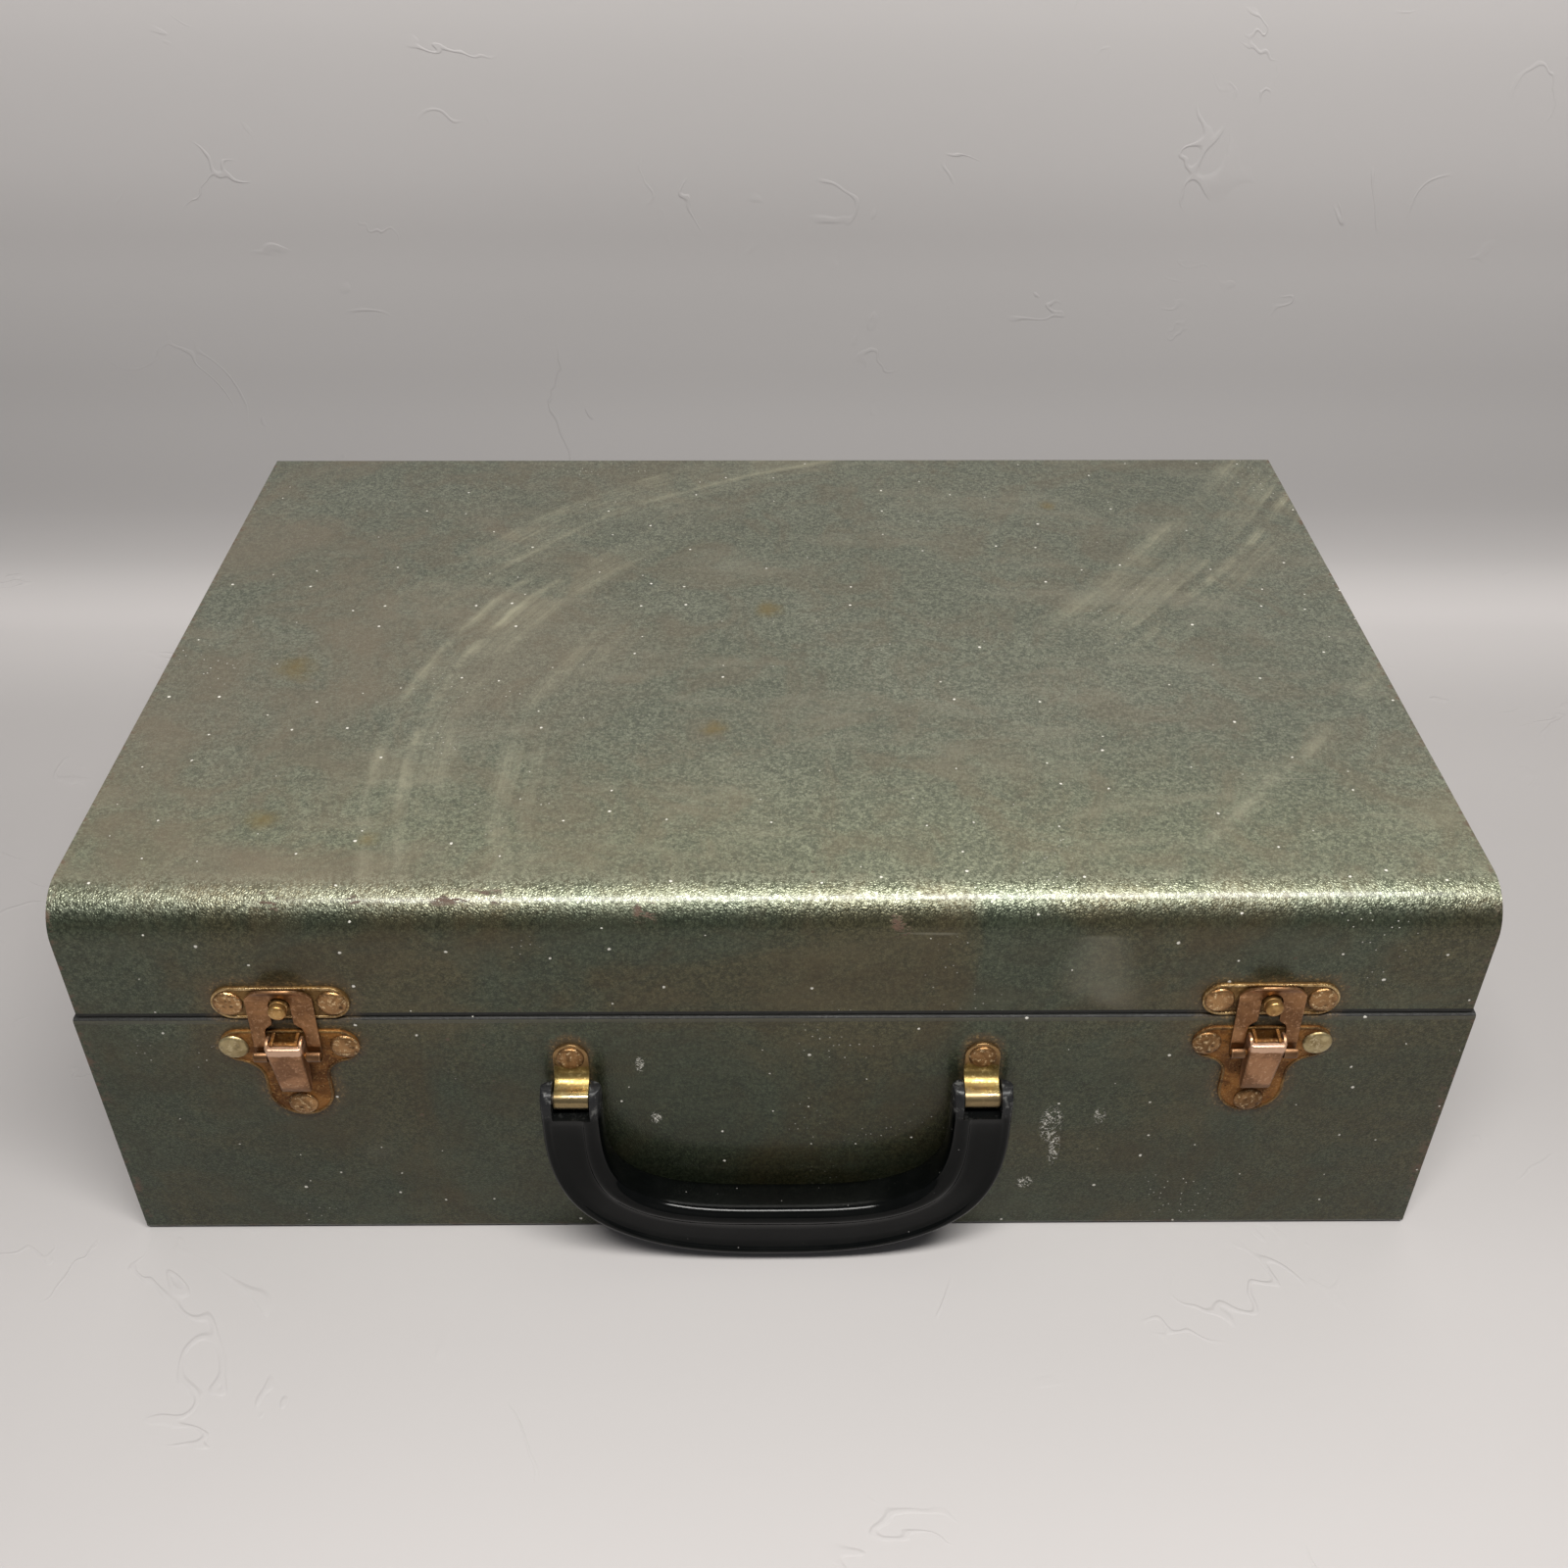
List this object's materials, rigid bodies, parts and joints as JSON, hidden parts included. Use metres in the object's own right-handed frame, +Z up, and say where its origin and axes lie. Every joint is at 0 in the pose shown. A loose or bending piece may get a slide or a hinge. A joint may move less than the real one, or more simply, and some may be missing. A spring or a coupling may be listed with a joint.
{
  "type": "sewing box with trays",
  "caption": "Latched sheet-steel carrying case for sewing things, with a rear-hinged lid, a folding handle and lift-out divided trays.",
  "frame": {"origin": "middle of the flat base, on the surface that the case stands on", "axes": "+X to the right along the length, +Y from the handle side to the hinge side, +Z up"},
  "size_m": [0.42, 0.3091, 0.142],
  "materials": {
    "case_paint": "grey-green hammered enamel, worn and rust-stained",
    "inner_paint": "grey-green enamel",
    "tray_paint": "grey-green enamel",
    "hinge_steel": "dull plated steel",
    "latch_plate": "rusted brass-plated steel",
    "latch_brass": "worn brass-plated steel with a brown patina",
    "pin_steel": "dull steel",
    "rivet_copper": "rusty copper-coloured plating",
    "clip_brass": "tarnished brass plating",
    "handle_plastic": "glossy black moulded plastic",
    "bail_wire": "plated wire"
  },
  "bodies": {
    "case": {"body_wrap": "case_paint", "body_end_left": "case_paint", "body_end_right": "case_paint", "rim_strip": "inner_paint", "front_ledge": "inner_paint", "rear_ledge": "inner_paint", "well_divider": "inner_paint", "hinge_leaf_body": "hinge_steel", "hinge_pin": "hinge_steel", "hinge_rivets_body": "hinge_steel", "latch_base_left": "latch_plate", "latch_base_right": "latch_plate", "latch_pivot_pin_left": "pin_steel", "latch_pivot_pin_right": "pin_steel", "latch_rivets_left": "rivet_copper", "latch_rivets_right": "rivet_copper", "handle_clip_left": "clip_brass", "handle_clip_right": "clip_brass", "handle_rivets": "rivet_copper"},
    "lid": {"lid_wrap": "case_paint", "lid_end_left": "case_paint", "lid_end_right": "case_paint", "hinge_leaf_lid": "hinge_steel", "hinge_rivets_lid": "hinge_steel", "lid_stops": "hinge_steel", "lid_stop_rivets": "hinge_steel", "strike_plate_left": "latch_plate", "strike_plate_right": "latch_plate", "strike_stud_left": "clip_brass", "strike_stud_right": "clip_brass", "strike_rivets_left": "rivet_copper", "strike_rivets_right": "rivet_copper"},
    "latch_lever_left": {"latch_lever_left": "latch_brass"},
    "latch_lever_right": {"latch_lever_right": "latch_brass"},
    "latch_hasp_left": {"latch_hasp_left": "latch_brass", "latch_link_pin_left": "pin_steel"},
    "latch_hasp_right": {"latch_hasp_right": "latch_brass", "latch_link_pin_right": "pin_steel"},
    "handle": {"handle_grip": "handle_plastic", "handle_pin_left": "pin_steel", "handle_pin_right": "pin_steel"},
    "tray_left": {"tray_left_pan": "tray_paint", "tray_left_cross_divider": "tray_paint", "tray_left_partitions": "tray_paint"},
    "tray_right": {"tray_right_pan": "tray_paint", "tray_right_cross_divider": "tray_paint", "tray_right_partitions": "tray_paint"},
    "bail_left": {"tray_left_bail": "bail_wire"},
    "bail_right": {"tray_right_bail": "bail_wire"}
  },
  "joints": [
    {"name": "lid_open", "type": "hinge", "parent": "case", "child": "lid", "pos_m": [0, 0.1458, 0.098], "axis": [-1, 0, 0], "range_deg": [0, 104.8]},
    {"name": "handle_swing", "type": "hinge", "parent": "case", "child": "handle", "pos_m": [0, -0.1493, 0.0698], "axis": [-1, 0, 0], "range_deg": [0, 165]},
    {"name": "latch_lever_left", "type": "hinge", "parent": "case", "child": "latch_lever_left", "pos_m": [-0.147, -0.1474, 0.0915], "axis": [-1, 0, 0], "range_deg": [0, 100]},
    {"name": "latch_hasp_left", "type": "hinge", "parent": "latch_lever_left", "child": "latch_hasp_left", "pos_m": [-0.147, -0.1469, 0.0865], "axis": [-1, 0, 0], "range_deg": [-140, 0]},
    {"name": "latch_lever_right", "type": "hinge", "parent": "case", "child": "latch_lever_right", "pos_m": [0.147, -0.1474, 0.0915], "axis": [-1, 0, 0], "range_deg": [0, 100]},
    {"name": "latch_hasp_right", "type": "hinge", "parent": "latch_lever_right", "child": "latch_hasp_right", "pos_m": [0.147, -0.1469, 0.0865], "axis": [-1, 0, 0], "range_deg": [-140, 0]},
    {"name": "tray_lift_left", "type": "slide", "parent": "case", "child": "tray_left", "axis": [0, 0, 1], "range_m": [0, 0.018]},
    {"name": "bail_swing_left", "type": "hinge", "parent": "tray_left", "child": "bail_left", "pos_m": [-0.103, 0.00065, 0.09545], "axis": [-1, 0, 0], "range_deg": [0, 90]},
    {"name": "tray_lift_right", "type": "slide", "parent": "case", "child": "tray_right", "axis": [0, 0, 1], "range_m": [0, 0.018]},
    {"name": "bail_swing_right", "type": "hinge", "parent": "tray_right", "child": "bail_right", "pos_m": [0.103, 0.00065, 0.09545], "axis": [-1, 0, 0], "range_deg": [0, 90]}
  ],
  "couplings": [
    {"joint": "latch_hasp_left", "follows": "latch_lever_left", "ratio": -1.4},
    {"joint": "latch_hasp_right", "follows": "latch_lever_right", "ratio": -1.4}
  ]
}
